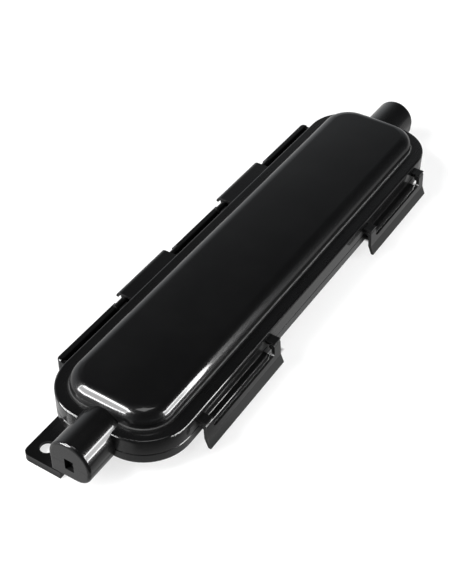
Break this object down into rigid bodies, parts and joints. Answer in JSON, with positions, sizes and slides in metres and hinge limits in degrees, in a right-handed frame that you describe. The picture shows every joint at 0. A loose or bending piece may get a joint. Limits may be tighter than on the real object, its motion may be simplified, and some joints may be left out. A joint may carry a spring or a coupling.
{
  "type": "outdoor fibre splice box",
  "caption": "Long shallow outdoor box for splicing drop cables, with a domed hinged cover, window latches, a cable port at each end, screw ears and a splice tray inside.",
  "frame": {"origin": "centre of the flat mounting face, under the middle of the box", "axes": "+X along the box to its rear port, +Y to the hinge side, +Z out of the mounting face to the cover"},
  "size_m": [0.2764, 0.0751, 0.0266],
  "materials": {
    "shell_plastic": "moulded gloss, black",
    "latch_plastic": "moulded gloss, black",
    "seal_rubber": "moulded matte",
    "tray_plastic": "moulded satin",
    "clamp_plastic": "moulded satin",
    "sleeve_plastic": "smooth",
    "screw_steel": "zinc plated",
    "pin_steel": "bright"
  },
  "bodies": {
    "base": {"base": "shell_plastic", "splice_tray": "tray_plastic", "tray_screws": "screw_steel", "sleeve_holder": "tray_plastic", "splice_sleeve_1": "sleeve_plastic", "splice_sleeve_2": "sleeve_plastic", "splice_sleeve_3": "sleeve_plastic", "splice_sleeve_4": "sleeve_plastic", "seal_cord_hinge_side": "seal_rubber", "seal_cord_latch_side": "seal_rubber", "port_seal_front": "seal_rubber", "port_seal_rear": "seal_rubber", "cable_clamp_front": "clamp_plastic", "cable_clamp_rear": "clamp_plastic", "clamp_screws_front": "screw_steel", "clamp_screws_rear": "screw_steel"},
    "cover": {"cover": "shell_plastic", "latch_pins_front": "pin_steel", "latch_pins_rear": "pin_steel"},
    "latch_front": {"latch_front": "latch_plastic"},
    "latch_rear": {"latch_rear": "latch_plastic"}
  },
  "joints": [
    {"name": "cover_hinge", "type": "hinge", "parent": "base", "child": "cover", "pos_m": [0, 0.0339, 0.016], "axis": [-1, 0, 0], "range_deg": [0, 180]},
    {"name": "latch_front_hinge", "type": "hinge", "parent": "cover", "child": "latch_front", "pos_m": [-0.0694, -0.03345, 0.0148], "axis": [-1, 0, 0], "range_deg": [0, 90]},
    {"name": "latch_rear_hinge", "type": "hinge", "parent": "cover", "child": "latch_rear", "pos_m": [0.0694, -0.03345, 0.0148], "axis": [-1, 0, 0], "range_deg": [0, 90]}
  ]
}
